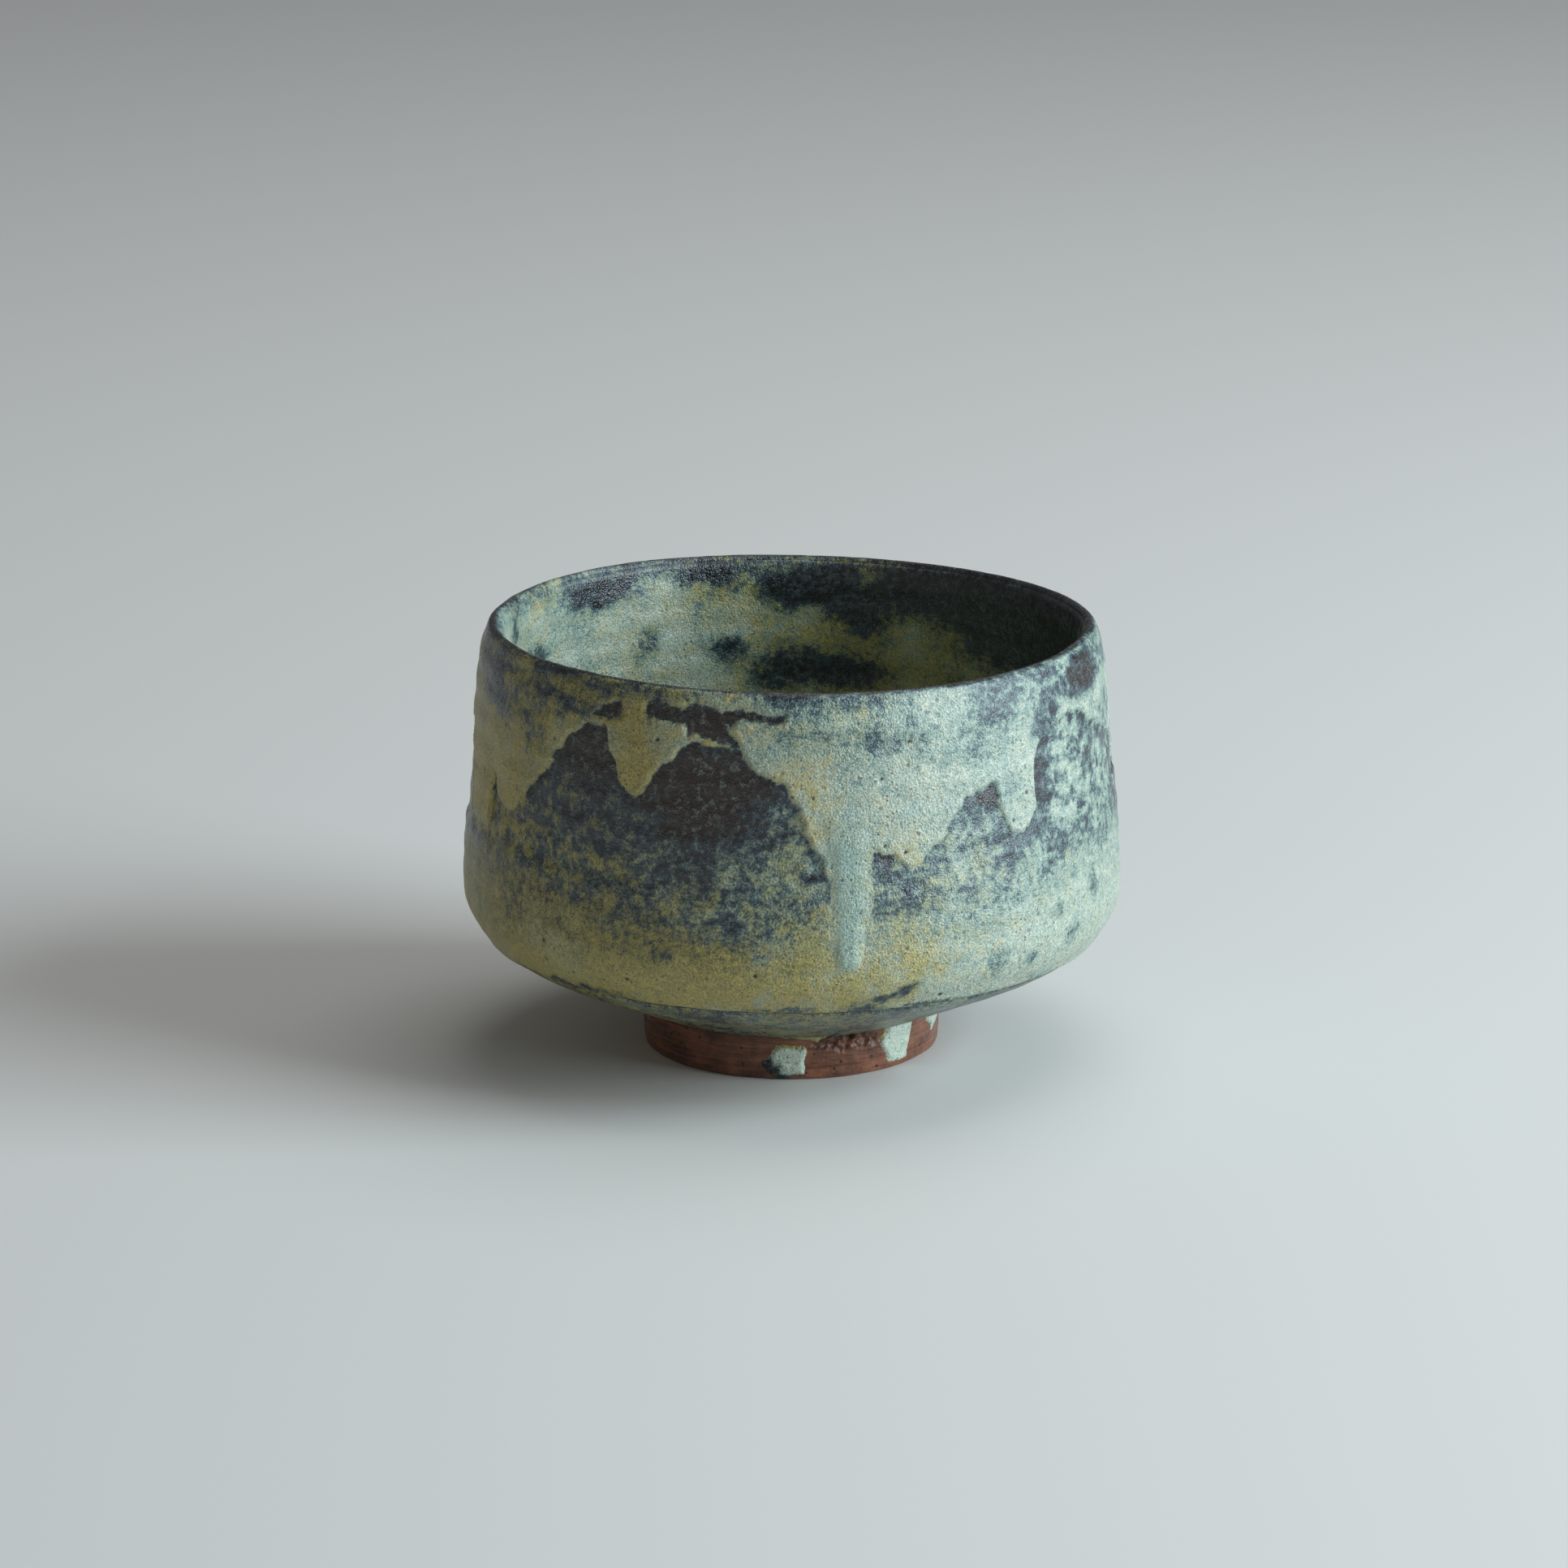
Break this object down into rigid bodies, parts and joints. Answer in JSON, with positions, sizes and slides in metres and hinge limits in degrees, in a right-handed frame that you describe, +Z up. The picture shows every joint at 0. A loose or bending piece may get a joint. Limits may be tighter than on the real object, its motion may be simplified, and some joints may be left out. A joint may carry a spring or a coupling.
{
  "type": "matcha tea bowl",
  "caption": "Hand-thrown tea bowl with a low foot ring, in iron slip under a pale ash glaze poured from the lip; holds whisked tea and stands on its foot.",
  "frame": {"origin": "on the table under the middle of the foot ring", "axes": "+Z up through the mouth of the bowl; -Y is the front of the bowl, +X to its right"},
  "size_m": [0.122, 0.122, 0.08],
  "materials": {
    "bare_clay": "bare fired stoneware, turned with a trimming tool, dry and slightly gritty",
    "foot_clay": "bare red-brown iron-bearing clay, burnished by the trimming tool, darker at the edges",
    "iron_slip": "black-brown iron slip, satin, with fine horizontal brushing and blue-grey specks",
    "ash_glaze": "matte pale ash glaze, granular, with pinholes and fine blue-black specks",
    "olive_glaze": "thin matte olive-grey glaze over the trimmed underside",
    "celadon_glaze": "thick glossy pale celadon glaze with dark green edges",
    "lip_glaze": "thin satin dark brown glaze where the coats have run off the lip",
    "inner_glaze": "semi-matte pale and olive ash glaze with blurred blue-black blotches"
  },
  "bodies": {
    "root": {"clay_wall": "bare_clay", "foot_ring": "foot_clay", "iron_slip_outer": "iron_slip", "iron_slip_inner": "iron_slip", "underside_glaze": "olive_glaze", "ash_glaze_lower": "ash_glaze", "ash_glaze_pour": "ash_glaze", "glaze_run": "celadon_glaze", "lip_glaze": "lip_glaze", "inner_glaze": "inner_glaze", "foot_glaze_splashes": "celadon_glaze"}
  },
  "joints": []
}
